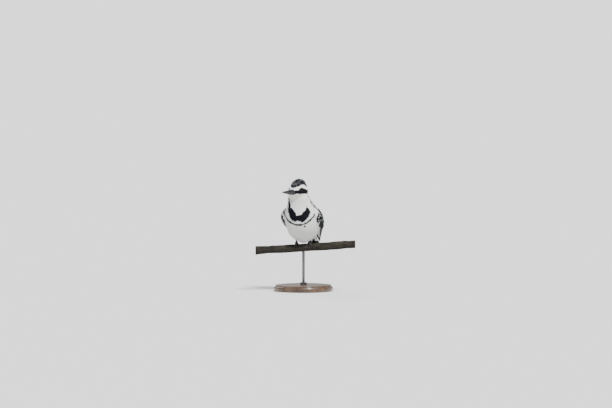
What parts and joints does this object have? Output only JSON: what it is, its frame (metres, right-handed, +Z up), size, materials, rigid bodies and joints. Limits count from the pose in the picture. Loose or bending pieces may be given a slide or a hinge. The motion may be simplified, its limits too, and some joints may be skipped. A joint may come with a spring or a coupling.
{
  "type": "pied kingfisher on a perch",
  "caption": "Life-size still model of a fluffed-up pied kingfisher perched on a short cut branch, held by a rod on a round display base.",
  "frame": {"origin": "middle of the stand's underside", "axes": "+Z up, +X along the perch, to the bird's left; -Y is the side that the bird faces"},
  "size_m": [0.21, 0.187, 0.235],
  "materials": {
    "plumage_white": "soft overlapping white feathers, matte",
    "plumage_black": "black feathers with a faint blue sheen",
    "plumage_pied": "black and white feathers, matte",
    "bill_horn": "black horn, satin, greyer along the ridge",
    "eye": "dark brown, wet gloss",
    "foot_skin": "dark scaly skin",
    "claw_horn": "black horn, satin",
    "bark": "rough grey-brown bark with paler lichen",
    "stand_wood": "dark oiled hardwood, satin",
    "stand_steel": "brushed steel"
  },
  "bodies": {
    "root": {"bill_upper": "bill_horn", "bill_lower": "bill_horn", "crest": "plumage_black", "wing_left_flight": "plumage_black", "wing_right_flight": "plumage_black", "head": "plumage_pied", "wing_left_shoulder": "plumage_pied", "wing_right_shoulder": "plumage_pied", "tail": "plumage_pied", "neck": "plumage_white", "trunk": "plumage_white", "tail_coverts": "plumage_white", "eye_left": "eye", "eye_right": "eye", "foot_left": "foot_skin", "foot_right": "foot_skin", "leg_left": "foot_skin", "leg_right": "foot_skin", "claw_left_1": "claw_horn", "claw_left_2": "claw_horn", "claw_left_3": "claw_horn", "claw_left_4": "claw_horn", "claw_right_1": "claw_horn", "claw_right_2": "claw_horn", "claw_right_3": "claw_horn", "claw_right_4": "claw_horn", "perch": "bark", "stand_base": "stand_wood", "stand_collar": "stand_steel", "stand_rod": "stand_steel"}
  },
  "joints": []
}
